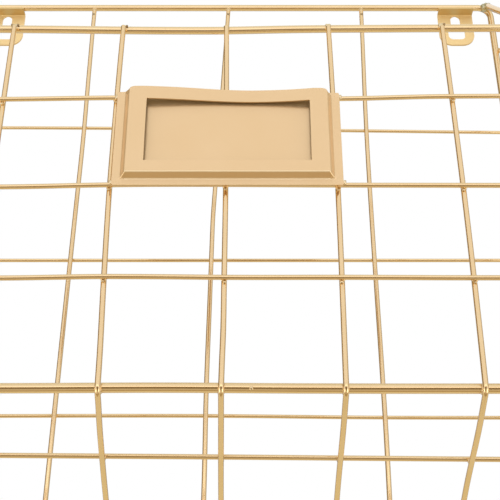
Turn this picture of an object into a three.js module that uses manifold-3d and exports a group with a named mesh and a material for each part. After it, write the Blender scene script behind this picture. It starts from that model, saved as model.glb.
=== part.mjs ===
import * as THREE from 'three';
import { mergeVertices } from 'three/addons/utils/BufferGeometryUtils.js';
import Module from 'manifold-3d';

// Wall file organizer: a welded wire pocket with a label holder, hung on two tabs.
// Millimetres, +Z up, the front towards -Y. Heights are counted from the rear bottom rail.
// The finished group has its origin on the wall, midway between the two hanging holes.

const wasm = await Module();
wasm.setup();

// Driving dimensions: wires
const railDiameter = 4;
const bottomRailDiameter = 4.5;
const uprightDiameter = 2.6;
const bandDiameter = 2.4;
const rearCrosswireDiameter = 2;
const weldGap = 0.3;

// Facets: sides of a wire, steps round its bends, and steps round the sheet's arcs
const sectionSides = 8;
const bendSegments = 5;
const plateArcSegments = 6;
const tabBendSegments = 4;

// Driving dimensions: frame
const frameHalfWidth = 167;
const rearFrameHeight = 345;
const rearFrameStandoff = 4.4;
const rearFrameBend = 8;
const rearFrameOverlap = 1;
const uprightDepth = 94;
const frontBottomHeight = 51.5;
const bandPitch = 49.5;
const frontPitches = 4;
const bandBend = 5.5;
const sideFrameBend = 6;
const sideRailRise = 2.3;
const upperSideWireDrop = 35;
const upperSideWireReach = 3;
const bandRearReach = 1.8;

// Driving dimensions: uprights and crosswires
const frontUprightOffsets = [-110.3, -53.6, 0, 53.2, 112.3];
const frontUprightTopDrop = 0.6;
const floorWireOvershoot = 2;
const rearUprightTops = [-88.4, -1.8, 83.8];
const rearUprightFeet = [-89.2, -10.6, 81.6];
const middleUprightKink = [-9, 188];
const middleUprightBend = 400;
const rearUprightSetForward = 1;
const rearCrosswireHeights = [70, 161.5, 250.5];
const floorCrosswirePlace = 39;

// Driving dimensions: label holder
const labelWidth = 108.8;
const labelCentre = 1.5;
const labelAboveBand = 2;
const labelBelowBand = 2.3;
const labelCorner = 0.8;
const labelSheet = 0.8;
const labelRaise = 3.4;
const labelFaceWidth = 96.6;
const labelBevel = 2.1;
const labelFlangeBelow = 3.6;
const labelFaceCorner = 1.6;
const windowWidth = 79.2;
const windowHeight = 35;
const windowAboveFace = 6.1;
const windowCorner = 1;

// Driving dimensions: hanging tabs
const tabInset = 22.2;
const tabWidth = 22.2;
const tabSheet = 1.2;
const tabPastRail = 3.3;
const tabDrop = 27.6;
const tabCorner = 8;
const tabBend = 0.9;
const holeLobeRadius = 3.1;
const holeTopStrip = 0.4;
const holeOpeningWidth = 10.7;
const holeOpeningHeight = 9;
const holeOpeningCorner = 2;
const holeBottomStrip = 4.5;

// Places that follow from the driving dimensions
const railRadius = railDiameter / 2;
const bottomRailRadius = bottomRailDiameter / 2;
const uprightRadius = uprightDiameter / 2;
const bandRadius = bandDiameter / 2;
const rearCrosswireRadius = rearCrosswireDiameter / 2;

const rearY = -rearFrameStandoff;
const uprightY = rearY - uprightDepth;
const frontRailY = uprightY + uprightRadius + weldGap + railRadius;
const bottomRailY = uprightY + uprightRadius + weldGap + bottomRailRadius;
const bandY = uprightY - uprightRadius - weldGap - bandRadius;
const bandSideX = frameHalfWidth + railRadius + weldGap + bandRadius;
const bandRearY = rearY + bandRearReach;
const frontTopHeight = bandHeight(frontPitches);
const railEndX = frameHalfWidth - railRadius - weldGap;

const rearUprightY = rearY - rearUprightSetForward;
const rearCrosswireY = rearUprightY + uprightRadius + weldGap + rearCrosswireRadius;

// The tab's flange lies under the rear rail, and the hole's round end just below the flange.
const tabCentre = frameHalfWidth - tabInset;
const tabFlange = rearFrameStandoff + tabPastRail;
const tabTop = rearFrameHeight - railRadius - weldGap;
const tabBottom = rearFrameHeight - tabDrop;
const hangHeight = tabTop - tabSheet - holeTopStrip - holeLobeRadius;

// The floor wires pass under the bottom rail and under the rear frame, touching both.
const bottomRailClearance = bottomRailRadius + weldGap + uprightRadius;
const rearRailClearance = railRadius + weldGap + uprightRadius;
const floorRun = rearY - bottomRailY;
const floorLength = Math.hypot(floorRun, frontBottomHeight);
const floorAngle = Math.atan2(frontBottomHeight, floorRun)
  - Math.asin((bottomRailClearance - rearRailClearance) / floorLength);
const floorDirection = new THREE.Vector3(0, Math.cos(floorAngle), -Math.sin(floorAngle));
const floorNormal = new THREE.Vector3(0, Math.sin(floorAngle), Math.cos(floorAngle));

// Materials
const wireGold = new THREE.MeshStandardMaterial({ color: 0xe9c591, metalness: 0.55, roughness: 0.36 });
const sheetGold = new THREE.MeshStandardMaterial({ color: 0xe8c595, metalness: 0.5, roughness: 0.4 });

const organizer = new THREE.Group();
organizer.name = 'wall_file_organizer';
organizer.position.z = -hangHeight;

function addPart(name, geometry, material) {
  const mesh = new THREE.Mesh(geometry, material);
  mesh.name = name;
  organizer.add(mesh);
  return mesh;
}

// A bent wire's centre line. It has a station at each end and several around each bend.
class BentWire extends THREE.Curve {
  constructor(stations) {
    super();
    this.stations = stations;
  }

  stationAt(u) {
    return this.stations[Math.round(u * (this.stations.length - 1))];
  }

  getPointAt(u, target = new THREE.Vector3()) {
    return target.copy(this.stationAt(u).point);
  }

  getTangentAt(u, target = new THREE.Vector3()) {
    return target.copy(this.stationAt(u).tangent);
  }
}

// Stations around one corner: an arc of the bend radius that is tangent to both runs.
function bendStations(before, corner, after, radius) {
  const into = corner.clone().sub(before).normalize();
  const out = after.clone().sub(corner).normalize();
  const turn = into.angleTo(out);
  const axis = into.clone().cross(out).normalize();
  const start = corner.clone().addScaledVector(into, -radius * Math.tan(turn / 2));
  const inward = axis.clone().cross(into);
  const centre = start.clone().addScaledVector(inward, radius);
  const stations = [];
  for (let i = 0; i <= bendSegments; i++) {
    const angle = (turn * i) / bendSegments;
    const spoke = start.clone().sub(centre).applyAxisAngle(axis, angle);
    stations.push({ point: centre.clone().add(spoke), tangent: into.clone().applyAxisAngle(axis, angle) });
  }
  return stations;
}

// A round wire along straight runs between the given points, bent at each inner one.
function wire(points, diameter, bendRadius = 0) {
  const last = points.length - 1;
  const stations = [{ point: points[0], tangent: points[1].clone().sub(points[0]).normalize() }];
  for (let i = 1; i < last; i++) {
    stations.push(...bendStations(points[i - 1], points[i], points[i + 1], bendRadius));
  }
  stations.push({ point: points[last], tangent: points[last].clone().sub(points[last - 1]).normalize() });

  // The section's flats lie at the wire's true radius and face along its bend plane.
  const vertexRadius = diameter / 2 / Math.cos(Math.PI / sectionSides);
  const section = new THREE.Shape();
  for (let i = 0; i < sectionSides; i++) {
    const angle = ((i + 0.5) * 2 * Math.PI) / sectionSides;
    const x = vertexRadius * Math.cos(angle);
    const y = vertexRadius * Math.sin(angle);
    if (i === 0) {
      section.moveTo(x, y);
    } else {
      section.lineTo(x, y);
    }
  }
  section.closePath();
  const path = new BentWire(stations);
  return new THREE.ExtrudeGeometry(section, { steps: stations.length - 1, extrudePath: path });
}

function straightWire(from, to, diameter) {
  return wire([from, to], diameter);
}

function at(x, y, z) {
  return new THREE.Vector3(x, y, z);
}

// The height of a band, counted from the front bottom rail in whole pitches.
function bandHeight(level) {
  return frontBottomHeight + level * bandPitch;
}

// A straight wire across the whole width, from side to side inside the frame.
function crossWire(y, z, diameter) {
  return straightWire(at(-railEndX, y, z), at(railEndX, y, z), diameter);
}

// Solids for the boolean joins and cuts
function toSolid(geometry) {
  const bare = new THREE.BufferGeometry();
  bare.setAttribute('position', geometry.getAttribute('position'));
  bare.setIndex(geometry.getIndex());
  const merged = mergeVertices(bare);
  const mesh = new wasm.Mesh({
    numProp: 3,
    vertProperties: new Float32Array(merged.getAttribute('position').array),
    triVerts: new Uint32Array(merged.getIndex().array),
  });
  return new wasm.Manifold(mesh);
}

function toGeometry(solid) {
  const mesh = solid.getMesh();
  const geometry = new THREE.BufferGeometry();
  geometry.setAttribute('position', new THREE.BufferAttribute(mesh.vertProperties, 3));
  geometry.setIndex(new THREE.BufferAttribute(mesh.triVerts, 1));
  geometry.computeVertexNormals();
  return geometry;
}

// A rectangle with round corners, centred on x and standing on y = 0.
function roundedRectangle(width, height, radius) {
  const half = width / 2;
  const shape = new THREE.Shape();
  shape.moveTo(-half + radius, 0);
  shape.lineTo(half - radius, 0);
  shape.absarc(half - radius, radius, radius, -Math.PI / 2, 0, false);
  shape.lineTo(half, height - radius);
  shape.absarc(half - radius, height - radius, radius, 0, Math.PI / 2, false);
  shape.lineTo(-half + radius, height);
  shape.absarc(-half + radius, height - radius, radius, Math.PI / 2, Math.PI, false);
  shape.lineTo(-half, radius);
  shape.absarc(-half + radius, radius, radius, Math.PI, (3 * Math.PI) / 2, false);
  return shape;
}

// Extrudes a front outline from backY towards the viewer. Outline x and y become X and Z.
function frontPlate(shape, x, backY, z, depth, options = {}) {
  const settings = { depth, bevelEnabled: false, curveSegments: plateArcSegments, ...options };
  const geometry = new THREE.ExtrudeGeometry(shape, settings);
  geometry.rotateX(Math.PI / 2);
  geometry.translate(x, backY, z);
  return geometry;
}

// Rear frame: one wire bent to a rectangle, its two halves welded top and bottom
function rearFrameHalf(side) {
  const corners = [
    at(-side * rearFrameOverlap, rearY, rearFrameHeight),
    at(side * frameHalfWidth, rearY, rearFrameHeight),
    at(side * frameHalfWidth, rearY, 0),
    at(-side * rearFrameOverlap, rearY, 0),
  ];
  return wire(corners, railDiameter, rearFrameBend);
}

const rearFrame = toSolid(rearFrameHalf(-1)).add(toSolid(rearFrameHalf(1)));
addPart('rear_frame', toGeometry(rearFrame), wireGold);

// Rear uprights: wires between the frame's top and bottom. The middle one leans, and is slightly bent.
const rearUprightNames = ['left', 'middle', 'right'];
rearUprightNames.forEach((name, i) => {
  const top = at(rearUprightTops[i], rearUprightY, rearFrameHeight - railRadius - weldGap);
  const foot = at(rearUprightFeet[i], rearUprightY, railRadius + weldGap);
  const kink = at(middleUprightKink[0], rearUprightY, middleUprightKink[1]);
  const points = name === 'middle' ? [top, kink, foot] : [top, foot];
  addPart(`rear_upright_${name}`, wire(points, uprightDiameter, middleUprightBend), wireGold);
});

// Rear crosswires: thin wires behind the rear uprights, from post to post
const rearCrosswireNames = ['lower', 'middle', 'upper'];
rearCrosswireNames.forEach((name, i) => {
  const geometry = crossWire(rearCrosswireY, rearCrosswireHeights[i], rearCrosswireDiameter);
  addPart(`rear_crosswire_${name}`, geometry, wireGold);
});

// Side frames: each one wire from the rear frame's top corner down to the front, then back below
const sides = [['left', -1], ['right', 1]];
const sideTop = at(0, rearY, rearFrameHeight + sideRailRise);
const sideFrontTop = at(0, frontRailY, frontTopHeight);
const sideFrontBottom = at(0, frontRailY, frontBottomHeight);
const sideBack = at(0, rearY, 0);

// The point on a run towards the rear frame where the wire's cut end just clears the post.
function cutAtPost(from, towards) {
  const run = towards.clone().sub(from).normalize();
  const endReach = railRadius * Math.abs(run.z) / Math.cos(Math.PI / sectionSides);
  const endY = rearY - railRadius - weldGap - endReach;
  return from.clone().addScaledVector(run, (endY - from.y) / run.y);
}

for (const [name, side] of sides) {
  const points = [
    cutAtPost(sideFrontTop, sideTop),
    sideFrontTop.clone(),
    sideFrontBottom.clone(),
    cutAtPost(sideFrontBottom, sideBack),
  ];
  points.forEach((point) => point.setX(side * frameHalfWidth));
  addPart(`side_frame_${name}`, wire(points, railDiameter, sideFrameBend), wireGold);
}

// Front rails, from side frame to side frame
addPart('front_top_rail', crossWire(frontRailY, frontTopHeight, railDiameter), wireGold);
addPart('front_bottom_rail', crossWire(bottomRailY, frontBottomHeight, bottomRailDiameter), wireGold);

// Front uprights: in front of both rails, then bent under the bottom rail as the sloping floor
const bottomRailCentre = at(0, bottomRailY, frontBottomHeight);
const floorStart = bottomRailCentre.clone().addScaledVector(floorNormal, -bottomRailClearance);
const floorCorner = floorStart.clone()
  .addScaledVector(floorDirection, (uprightY - floorStart.y) / floorDirection.y);
const floorEnd = at(0, rearY, 0)
  .addScaledVector(floorNormal, -rearRailClearance)
  .addScaledVector(floorDirection, floorWireOvershoot);

frontUprightOffsets.forEach((x, i) => {
  const points = [
    at(x, uprightY, frontTopHeight - frontUprightTopDrop),
    at(x, floorCorner.y, floorCorner.z),
    at(x, floorEnd.y, floorEnd.z),
  ];
  addPart(`front_upright_${i + 1}`, wire(points, uprightDiameter, bottomRailClearance), wireGold);
});

// Floor crosswire: on top of the floor wires
const floorCrosswire = floorStart.clone()
  .addScaledVector(floorDirection, floorCrosswirePlace)
  .addScaledVector(floorNormal, uprightRadius + weldGap + bandRadius);
addPart('floor_crosswire', crossWire(floorCrosswire.y, floorCrosswire.z, bandDiameter), wireGold);

// Bands: thin wires round the front and both sides, ending on the rear posts
const bandNames = ['lower', 'middle', 'upper'];
bandNames.forEach((name, i) => {
  const height = bandHeight(i + 1);
  const points = [
    at(-bandSideX, bandRearY, height),
    at(-bandSideX, bandY, height),
    at(bandSideX, bandY, height),
    at(bandSideX, bandRearY, height),
  ];
  addPart(`band_${name}`, wire(points, bandDiameter, bandBend), wireGold);
});

// Short side wires above the bands: level with the front top rail, and below the rear frame's corner
const upperSideHeight = rearFrameHeight - upperSideWireDrop;
const sideRailSlope = (sideTop.z - sideFrontTop.z) / (sideTop.y - sideFrontTop.y);
const sideRailY = sideFrontTop.y + (upperSideHeight - sideFrontTop.z) / sideRailSlope;
const upperSideFrontY = sideRailY - upperSideWireReach;

function sideWire(x, frontY, height) {
  return straightWire(at(x, bandRearY, height), at(x, frontY, height), bandDiameter);
}

for (const [name, side] of sides) {
  const x = side * bandSideX;
  addPart(`side_wire_middle_${name}`, sideWire(x, frontRailY, frontTopHeight), wireGold);
  addPart(`side_wire_upper_${name}`, sideWire(x, upperSideFrontY, upperSideHeight), wireGold);
}

// Label holder: in front of two bands, a flat back plate and a stamped frame with an open top
const labelBackY = bandY - bandRadius - weldGap;
const labelFlangeY = labelBackY - labelSheet;
const labelBottom = bandHeight(2) - labelBelowBand;
const labelTop = bandHeight(3) + labelAboveBand;
const labelHeight = labelTop - labelBottom;

function labelOutline() {
  return roundedRectangle(labelWidth, labelHeight, labelCorner);
}

addPart(
  'label_back_plate',
  frontPlate(labelOutline(), labelCentre, labelBackY, labelBottom, labelSheet),
  sheetGold,
);

// A block with sloping sides, raised from the flange and running out past the holder's top.
function raisedBlock(inset, raise) {
  const width = labelFaceWidth - 2 * inset;
  const bottom = labelFlangeBelow + labelBevel + inset;
  const shape = roundedRectangle(width, 2 * labelHeight - bottom, labelFaceCorner);
  const bevel = { bevelEnabled: true, bevelSegments: 1, bevelThickness: raise, bevelSize: labelBevel };
  return frontPlate(shape, labelCentre, labelFlangeY, labelBottom + bottom, labelSheet, bevel);
}

function labelFrame() {
  const flange = toSolid(frontPlate(labelOutline(), labelCentre, labelFlangeY, labelBottom, labelSheet));
  // Deep enough to hold or cut through the whole raised face
  const reach = 2 * (labelRaise + labelSheet);
  const space = toSolid(frontPlate(labelOutline(), labelCentre, labelFlangeY, labelBottom, reach));
  const outer = toSolid(raisedBlock(0, labelRaise)).intersect(space);
  const inner = toSolid(raisedBlock(labelSheet, labelRaise)).translate([0, labelSheet, 0]);
  const opening = roundedRectangle(windowWidth, windowHeight, windowCorner);
  const windowBottom = labelBottom + labelFlangeBelow + labelBevel + windowAboveFace;
  const window = toSolid(frontPlate(opening, labelCentre, labelFlangeY, windowBottom, reach));
  return toGeometry(flange.add(outer).subtract(inner).subtract(window));
}

addPart('label_frame', labelFrame(), sheetGold);

// Hanging tabs: sheet bent under the rear rail and down the wall, with a keyhole
function tabProfile() {
  const outerBend = tabBend + tabSheet;
  const bendHeight = tabTop - outerBend;
  const profile = new THREE.Shape();
  profile.moveTo(0, tabBottom);
  profile.lineTo(0, bendHeight);
  profile.absarc(-outerBend, bendHeight, outerBend, 0, Math.PI / 2, false);
  profile.lineTo(-tabFlange, tabTop);
  profile.lineTo(-tabFlange, tabTop - tabSheet);
  profile.lineTo(-outerBend, tabTop - tabSheet);
  profile.absarc(-outerBend, bendHeight, tabBend, Math.PI / 2, 0, true);
  profile.lineTo(-tabSheet, tabBottom);
  return profile;
}

function keyholeShape() {
  const openingBottom = tabBottom + holeBottomStrip;
  const openingTop = openingBottom + holeOpeningHeight;
  const half = holeOpeningWidth / 2;
  const corner = holeOpeningCorner;
  const shape = new THREE.Shape();
  shape.moveTo(-half + corner, openingBottom);
  shape.lineTo(half - corner, openingBottom);
  shape.absarc(half - corner, openingBottom + corner, corner, -Math.PI / 2, 0, false);
  shape.lineTo(half, openingTop - corner);
  shape.absarc(half - corner, openingTop - corner, corner, 0, Math.PI / 2, false);
  shape.lineTo(holeLobeRadius, openingTop);
  shape.lineTo(holeLobeRadius, hangHeight);
  shape.absarc(0, hangHeight, holeLobeRadius, 0, Math.PI, false);
  shape.lineTo(-holeLobeRadius, openingTop);
  shape.lineTo(-half + corner, openingTop);
  shape.absarc(-half + corner, openingTop - corner, corner, Math.PI / 2, Math.PI, false);
  shape.lineTo(-half, openingBottom + corner);
  shape.absarc(-half + corner, openingBottom + corner, corner, Math.PI, (3 * Math.PI) / 2, false);
  return shape;
}

function hangingTab(x) {
  const settings = { depth: tabWidth, bevelEnabled: false, curveSegments: tabBendSegments };
  const sheet = new THREE.ExtrudeGeometry(tabProfile(), settings);
  // Profile x and y become Y and Z, and the sheet's width runs along X.
  sheet.rotateX(Math.PI / 2);
  sheet.rotateZ(Math.PI / 2);
  sheet.translate(x - tabWidth / 2, 0, 0);
  // Blocks that run past the sheet on both sides
  const reach = 2 * tabFlange;
  const outline = roundedRectangle(tabWidth, tabDrop + tabCorner, tabCorner);
  const outlineBlock = frontPlate(outline, x, reach, tabBottom, 2 * reach);
  const keyhole = frontPlate(keyholeShape(), x, reach, 0, 2 * reach);
  return toGeometry(toSolid(sheet).intersect(toSolid(outlineBlock)).subtract(toSolid(keyhole)));
}

for (const [name, side] of sides) {
  addPart(`hanging_tab_${name}`, hangingTab(side * tabCentre), sheetGold);
}

export default organizer;
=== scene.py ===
"""The looks of a wall file organizer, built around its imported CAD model.

Metres, +Z up, front at -Y.
"""

import itertools
import math

import bmesh
import bpy
import numpy as np
from mathutils import Matrix, Vector, geometry, noise


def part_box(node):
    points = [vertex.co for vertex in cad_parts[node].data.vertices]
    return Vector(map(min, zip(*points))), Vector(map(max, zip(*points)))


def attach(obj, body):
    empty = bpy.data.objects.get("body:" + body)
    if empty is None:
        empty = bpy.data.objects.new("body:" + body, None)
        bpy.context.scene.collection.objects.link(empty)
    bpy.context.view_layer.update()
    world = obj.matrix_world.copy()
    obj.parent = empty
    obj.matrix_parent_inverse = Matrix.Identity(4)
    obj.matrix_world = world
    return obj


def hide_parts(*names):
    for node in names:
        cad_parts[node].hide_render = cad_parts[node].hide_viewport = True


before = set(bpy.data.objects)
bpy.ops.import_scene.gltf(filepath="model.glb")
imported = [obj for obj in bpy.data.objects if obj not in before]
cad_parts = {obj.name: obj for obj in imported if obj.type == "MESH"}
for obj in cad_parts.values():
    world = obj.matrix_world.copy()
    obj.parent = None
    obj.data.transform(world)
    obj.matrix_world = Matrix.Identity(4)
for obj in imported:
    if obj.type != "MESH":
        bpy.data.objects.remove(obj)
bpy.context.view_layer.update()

MM = 0.001

# Directions
ACROSS = Vector((1, 0, 0))
BACK = Vector((0, 1, 0))
FORWARD = Vector((0, -1, 0))
UP = Vector((0, 0, 1))

# Small distances: above nought, of a cut, between points that are one, and past a run's end
TINY = 1e-9
CUT_REACH = 1e-7
MERGE_REACH = 0.01 * MM
END_SLACK = 1 * MM

# Wires: sides of a CAD section, sides and steps of the smooth tubes that replace them
CAD_SIDES = 8
TUBE_SIDES = 20
STRAIGHT_STEP = 4 * MM
BEND_STEP = 0.7 * MM
WELD_STEP = 0.45 * MM
LEAST_STEP = 0.12 * MM
WELD_REACH = 3.2 * MM
RIM_ROUND = 0.4 * MM

# Bend radii of the wires' centre lines
REAR_FRAME_BEND = 8 * MM
SIDE_FRAME_BEND = 6 * MM
BAND_BEND = 5.5 * MM
UPRIGHT_BEND = 3.85 * MM
MIDDLE_UPRIGHT_BEND = 400 * MM

# Directions in which the sloping wires end
FLOOR_END = (0, 0.87, -0.5)
RAIL_END = (0, 0.68, 0.73)

# Where the hand-welded wires stray from a straight course: pairs of a place and a shift, in mm.
# Uprights and side frames stray along X, by the distance from their upper end.
# The floor crosswire strays along the floor and the other wires along Z, both by their place in X.
STRAY = {
    "front_upright_1": ((0, 0.1), (100, -0.1), (310, -0.2)),
    "front_upright_2": (
        (0, 0.1), (20, -0.2), (60, -0.55), (105, -0.65), (150, 0), (190, 0.75),
        (203, 0.75), (218, 0.2), (245, -0.3), (310, -0.6),
    ),
    "front_upright_3": (
        (0, -0.1), (50, 0.45), (105, 0.6), (150, 0.45), (173, 0.35), (187, 0), (218, -0.5),
        (254, -1.1), (310, -1.5),
    ),
    "front_upright_4": (
        (0, -0.45), (30, -0.05), (105, 0.45), (150, 0.25), (190, -0.1), (218, -0.3),
        (254, -1.05), (310, -1.5),
    ),
    "front_upright_5": (
        (0, -0.6), (28, -0.1), (74, 0.45), (120, 0.68), (173, 0.4), (201, 0.1), (218, -0.15),
        (254, -1.6), (310, -2.2),
    ),
    "rear_upright_left": (
        (0, 0.2), (53, 0.6), (100, 1), (146, 0.7), (206, 0.3), (264, 0), (340, -0.3),
    ),
    "rear_upright_middle": (
        (0, 0), (146, -0.2), (206, -0.55), (264, -0.9), (300, -0.55), (340, -0.5),
    ),
    "rear_upright_right": (
        (0, 0), (33, -0.4), (83, -1.1), (169, -1), (206, -0.7), (247, -0.35), (280, -0.2),
        (340, -0.6),
    ),
    "side_frame_left": ((0, 2.4), (22, 2), (50, 0.5), (125, 0)),
    "side_frame_right": ((0, -2.4), (22, -2), (50, -0.5), (125, 0)),
    "front_top_rail": (
        (-165, 0.7), (-92, 0.05), (-40, -0.65), (-5, -0.7), (35, 0.2), (90, 0.7), (165, 1.1),
    ),
    "front_bottom_rail": ((-165, 0), (-87, 0.1), (-27, 0.35), (34, 0), (165, -0.1)),
    "band_upper": (
        (-165, -0.3), (-101, -0.1), (-62, 0.6), (66, 0.3), (101, 1.4), (131, 1.7), (165, 1.8),
    ),
    "band_middle": ((-165, -1.6), (-96, -1.4), (-58, -0.45), (64, -0.55), (165, -0.75)),
    "band_lower": (
        (-165, 0.1), (-91, 0.25), (-55, 0.9), (-28, 0.8), (0, 0.5), (61, 0.5), (100, 0.3),
        (165, 0.3),
    ),
    "rear_crosswire_upper": (
        (-165, 1.6), (-126, 1.5), (-78, 1.2), (0, 0.2), (78, -0.7), (121, -1.35), (165, -2),
    ),
    "rear_crosswire_lower": ((-165, 0.3), (7, 0.3), (69, -0.4), (165, -0.6)),
    "floor_crosswire": ((-165, -1.7), (-100, -1), (0, 0), (60, 0.7), (165, 1.9)),
}

# Welds: two wires whose clearance is below the first value are welded, at places this far apart
WELD_CLEARANCE = 0.6 * MM
WELD_SPACING = 2 * MM
STAIN_RADIUS = 1.7 * MM

# Reach and depth of a bead, as shares of the wire's radius: at a crossing, and at a wire's end
CROSSING_BEAD = (1.25, 0.5)
END_BEAD = (1.22, 0.42)

# A bead's mesh, and how far it bulges in the corners, how uneven and how full it is
BEAD_RINGS = 7
BEAD_SIDES = 18
BEAD_LOBES = 0.16
BEAD_ROUGHNESS = 0.1
BEAD_NOISE_SCALE = 1.7
BEAD_NOISE_STEP = 3.1
BEAD_FULLNESS = 0.6

# Knobs squeezed out below the bands: place and depth in shares of their reach, and the steps
# of angle by which their places and sizes vary
KNOB_REACH = 0.95 * MM
KNOB_PLACE = (0.4, -0.3, 0.5)
KNOB_DEPTH = 0.75
KNOB_SIZES = (0.85, 0.15)
KNOB_TURNS = (2.4, 1.7)
FACING = 0.9

# Dark weld flash: front uprights and the side of their tops on which it shows, -1 left and 1 right
FLASH_SIDES = ((1, -1), (1, 1), (2, 1), (5, 1))
FLASH_REACH = 0.6 * MM
FLASH_DROP = 4.8 * MM
FLASH_WAY = (0, -0.65, 0.76)
FLASH_ON_RAIL = (0, -1.3, 0.35)
FLASH_ON_UPRIGHT = 0.85
UPRIGHT_FLASH = (1.5, 0.5)

# Reach and depth of the other spots, and where they are
DROP_PLACE = 12.7 * MM
DROP_WAY = (0, -0.94, -0.35)
DROP_SIZE = (0.9 * MM, 0.55 * MM)
LABEL_SPOT = (1.3 * MM, 0.9 * MM)
LABEL_SPOT_OUT = 0.2 * MM
LABEL_SPOT_BACK = 0.1 * MM
TAB_SPOT = (1.9 * MM, 0.55 * MM)
TAB_SPOT_RISE = 0.15 * MM
TAB_SPOT_SHARES = (0.16, 0.84)
CORNER_GAP = 0.2 * MM
CORNER_BEAD = (1.15, 0.5)
CORNER_LUMP = 1.3
CORNER_LUMP_PLACE = (0.8, 0.5, -0.3)

# Label holder
SHEET = 0.8 * MM
FACE_HALF = 48.3 * MM
BEVEL = 2.1 * MM
LOW_BEVEL = 1.7 * MM
LIP_REACH = 0.6 * MM
RAISE = 3.28 * MM
FLANGE_BELOW = 3.6 * MM
WINDOW_HALF = 39.6 * MM
WINDOW_LOW = 11.8 * MM
WINDOW_TALL = 35 * MM
WINDOW_MARGIN = 3 * MM
HOLDER_CORNER = 0.8 * MM
HOLDER_RIM = 0.12 * MM
TOP_CORNER_WIDTH = 3.2 * MM
TOP_CORNER_DROP = 1.5 * MM
TOP_EDGE_TALL = 4.6 * MM
LEFT_FLANGE_DROP = 1.3 * MM
RIGHT_FLANGE_DROP = 2.5 * MM

# How round its folds are: at its sides, at its foot, and where the two meet
SIDE_TURN = 0.22
LOW_TURN = 0.1
MITRE_TURN = 0.45 * MM
WALL_SHIFT = 0.45 * MM

# The pushed-back strip above its window, its raised left, and the unevenness of its sheet
STRIP_BOW = 2.2 * MM
BOW_WIDTH = 83.2 * MM
BOW_LEAN = 1.3
BOW_LOW = 44 * MM
BOW_BLEND = 3 * MM
LEFT_LIFT = 1.3 * MM
LIFT_START = 14 * MM
LIFT_WIDTH = 44 * MM
RIPPLE = 0.035 * MM
RIPPLE_SCALE = 45
FRAME_SEED = 1.3
PLATE_SEED = 4.7

# Its grid: places and, between them, steps, in mm, beside its window, across it and upwards
GRID_SIDE = (37.6, 0.4, 41.6, 1, 47.3, 0.2, 51.4, 0.5, 54.4)
GRID_MIDDLE = (-37.6, 2.35, 37.6)
GRID_UP = (0, 0.4, 2.6, 0.2, 6.7, 1.03, 9.8, 0.4, 13.8, 2.2, 44.8, 0.4, 48.8, 0.5, 53.8)
PLATE_CUTS = range(-50, 51, 5)

# Hanging tabs
TAB_SHEET = 1.2 * MM
TAB_BEND = 0.9 * MM
TAB_OUTER = TAB_BEND + TAB_SHEET
TAB_MIDDLE_BEND = TAB_BEND + TAB_SHEET / 2
FLANGE_START = 1.5 * TAB_SHEET
TAB_CORNER = 8 * MM
TAB_RIM = 0.14 * MM
TAB_CUT = 7.5 * MM
BEND_CUTS = 6
FLANGE_CORNER = 0.8 * MM
LOBE_RADIUS = 3.1 * MM
OPENING_WIDTH = 10.7 * MM
OPENING_TALL = 9 * MM
OPENING_CORNER = 2 * MM
OPENING_LOW_CORNER = 3 * MM
OPENING_LOW = 4.5 * MM

# Steps of the sheets' arcs, and the least angle of an edge that is rounded
CORNER_STEPS = 12
LOBE_STEPS = 16
OPENING_STEPS = 6
OPENING_LOW_STEPS = 8
SHARP = math.radians(60)

# Colours, linear
WIRE_TONES = ((0.865, 0.645, 0.38), (0.83, 0.605, 0.34))
BEAD_TONES = ((0.9, 0.73, 0.5), (0.84, 0.66, 0.42))
SHEET_TONES = ((0.865, 0.62, 0.36), (0.84, 0.595, 0.335))
# Painted light: the tabs' flat sheets are a lighter, yellower copy of the sheet gold, so the
# flange's shadow doesn't darken them
TAB_LIT_TONES = ((1.0, 0.745, 0.365), (0.97, 0.715, 0.345))
# Painted shade: the tabs' flanges are a darker copy of the sheet gold, for the shade under them
FLANGE_SHADE_TONES = ((0.725, 0.53, 0.245), (0.70, 0.505, 0.225))
# Painted highlight: a lighter copy of the sheet gold along the lower bevel's folds
FOLD_HIGHLIGHT_TONES = ((1.0, 0.8, 0.52), (0.98, 0.77, 0.49))
# Painted shade: dark olive on the frame's back and its window's upper rim, for the shadow in the
# cavity behind the window's top
INNER_SHADE_TONES = ((0.30, 0.26, 0.16), (0.25, 0.21, 0.12))
BARE_TONES = ((0.62, 0.56, 0.38), (0.40, 0.35, 0.20))
FLASH_TONES = ((0.40, 0.29, 0.17), (0.32, 0.22, 0.12))
WELD_STAIN = (0.58, 0.44, 0.25)
FLOOR_TONE = (0.70, 0.685, 0.655)
FLOOR_SHADE = 0.985
FLOOR_BOUNCE = (0.50, 0.42, 0.28)

# Finishes: colours, metallic, roughness, scale of the grain, its height, and whether welds stain it
FINE_GRAIN = 0.001 * MM
FINISHES = {
    "wire_gold": (WIRE_TONES, 1, 0.14, 1500, FINE_GRAIN, True),
    "weld_gold": (BEAD_TONES, 1, 0.24, 2600, 0.008 * MM, True),
    "weld_bare": (BARE_TONES, 1, 0.3, 1600, 0.01 * MM, False),
    "weld_dark": (FLASH_TONES, 1, 0.35, 1600, 0.01 * MM, False),
    "sheet_gold": (SHEET_TONES, 0.6, 0.25, 900, FINE_GRAIN, False),
    # Painted light on the tabs' flat sheets
    "tab_painted_light": (TAB_LIT_TONES, 0.15, 0.45, 900, FINE_GRAIN, False),
    # Painted shade on the tabs' flanges
    "flange_painted_shade": (FLANGE_SHADE_TONES, 0.45, 0.45, 900, FINE_GRAIN, False),
    # Painted shade on the frame's back and the window's upper rim
    "sheet_painted_shade": (INNER_SHADE_TONES, 0.6, 0.4, 900, FINE_GRAIN, False),
    # Painted highlight on the folds of the lower bevel
    "sheet_painted_highlight": (FOLD_HIGHLIGHT_TONES, 0.3, 0.25, 900, FINE_GRAIN, False),
}
CLOUD_SCALE = 38
CLOUD_SHARE = 0.75
PATCH_SCALE = 260
STAIN_SHARES = (0.05, 0.6)
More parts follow.
